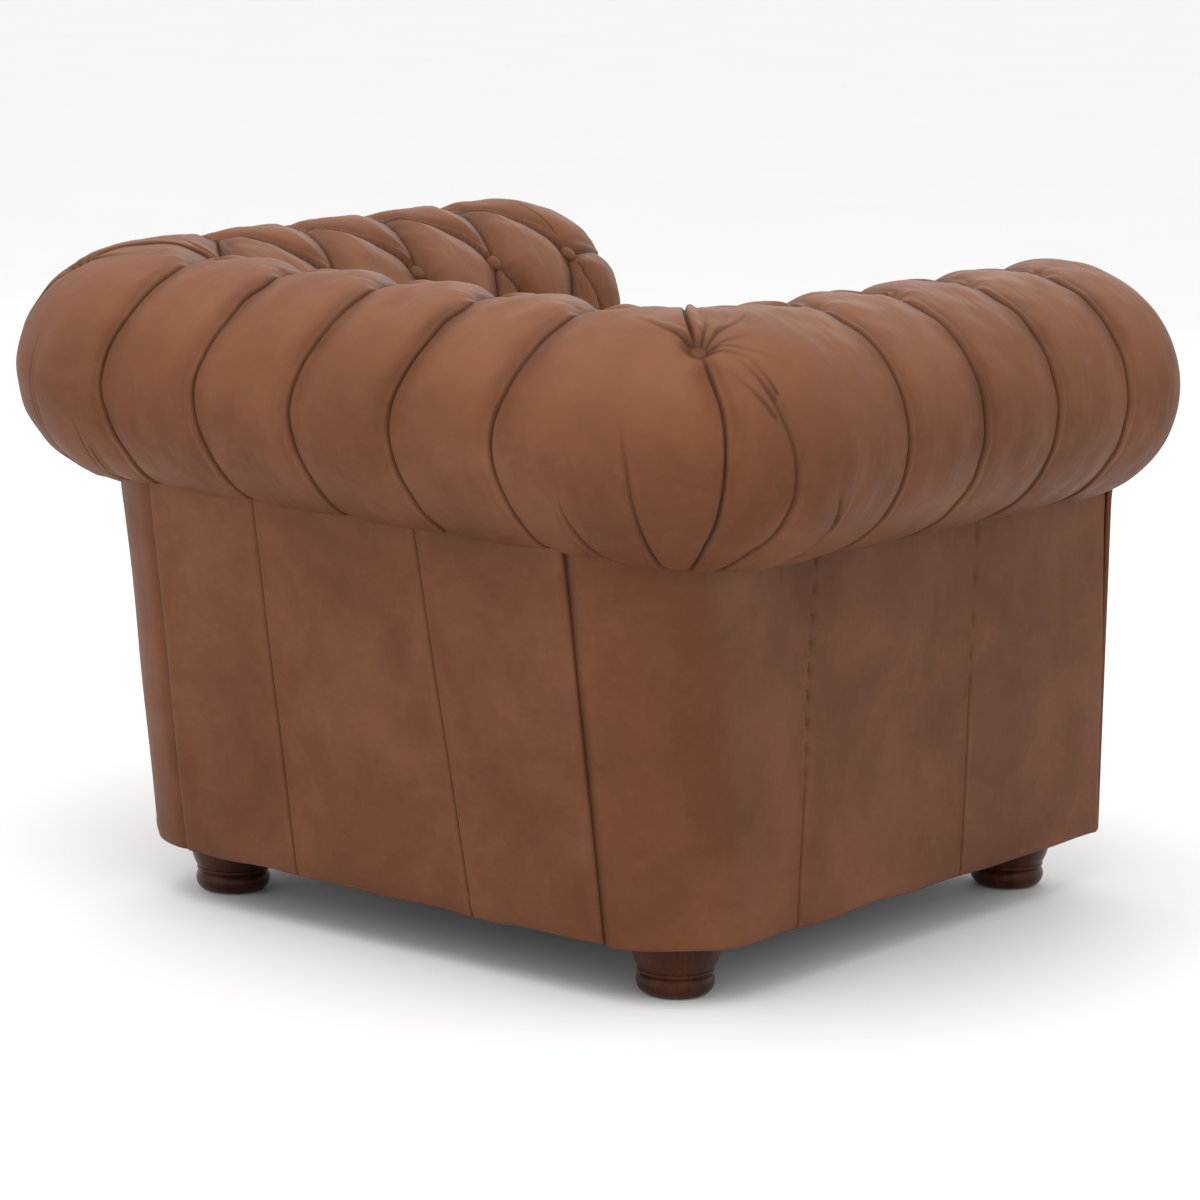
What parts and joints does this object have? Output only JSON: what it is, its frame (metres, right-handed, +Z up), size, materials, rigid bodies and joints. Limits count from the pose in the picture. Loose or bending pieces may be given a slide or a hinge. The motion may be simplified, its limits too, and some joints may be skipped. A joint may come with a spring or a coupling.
{
  "type": "upholstered armchair",
  "caption": "Low-backed leather armchair with deep-buttoned rolled arms and back of one height, a loose seat cushion and turned wooden bun feet.",
  "frame": {"origin": "on the floor under the middle of the bounding box", "axes": "+Z up, the chair's front faces -Y, +X is the right arm as seen from the front"},
  "size_m": [1.054, 0.888, 0.707],
  "materials": {
    "leather": "waxed, semi-matt",
    "leather_facing": "waxed, semi-matt",
    "leather_piping": "waxed, semi-matt",
    "button_leather": "waxed, semi-matt",
    "foot_wood": "stained and lacquered",
    "hardwood": "planed",
    "plywood": "sanded",
    "foam": "open cell",
    "felt": "needled",
    "deck_fabric": "plain weave",
    "webbing": "woven jute",
    "spring_steel": "oiled",
    "fixing_steel": "zinc plated",
    "glide_plastic": "moulded",
    "dust_cloth": "non-woven",
    "zip_tape": "woven tape with moulded teeth",
    "zip_metal": "antique"
  },
  "bodies": {
    "chair": {"arm_buttons_left": "button_leather", "arm_buttons_right": "button_leather", "arm_cover_left": "leather", "arm_cover_right": "leather", "arm_front_boards": "plywood", "arm_front_cover_left": "leather", "arm_front_cover_right": "leather", "arm_front_facing_left": "leather_facing", "arm_front_facing_right": "leather_facing", "arm_front_pads": "foam", "arm_inside_pads": "foam", "arm_roll_pad_left": "foam", "arm_roll_pad_right": "foam", "arm_stay_rails": "hardwood", "arm_top_rails": "hardwood", "arm_webbing": "webbing", "back_buttons": "button_leather", "back_cover": "leather", "back_inside_pad": "foam", "back_posts": "hardwood", "back_roll_pad": "foam", "back_stay_rail": "hardwood", "back_top_rail": "hardwood", "back_webbing": "webbing", "corner_buttons": "button_leather", "corner_covers": "leather", "corner_roll_pads": "foam", "deck_cloth": "deck_fabric", "deck_pad": "foam", "dust_cover": "dust_cloth", "facing_piping": "leather_piping", "foot_blocks": "hardwood", "foot_bolts": "fixing_steel", "foot_front_left": "foot_wood", "foot_front_right": "foot_wood", "foot_rear_left": "foot_wood", "foot_rear_right": "foot_wood", "frame_screws": "fixing_steel", "front_apron": "leather", "front_edge_pad": "foam", "front_posts": "hardwood", "front_rail": "hardwood", "glides": "glide_plastic", "outside_arm_panel_left": "leather", "outside_arm_panel_right": "leather", "outside_back_panel": "leather", "rear_posts": "hardwood", "rear_rail": "hardwood", "seat_insulator": "felt", "seat_springs": "spring_steel", "side_rails": "hardwood", "spring_clips": "fixing_steel", "spring_tie_wires": "spring_steel", "staples": "fixing_steel", "tee_nuts": "fixing_steel"},
    "cushion": {"cushion_cover": "leather", "cushion_core": "foam", "cushion_welts": "leather_piping", "cushion_zip": "zip_tape"},
    "zip_slider": {"zip_slider": "zip_metal"}
  },
  "joints": [
    {"name": "cushion_slide", "type": "slide", "parent": "chair", "child": "cushion", "axis": [0, -1, 0], "range_m": [0, 0.5]},
    {"name": "zip_slide", "type": "slide", "parent": "cushion", "child": "zip_slider", "axis": [1, 0, 0], "range_m": [0, 0.38]}
  ]
}
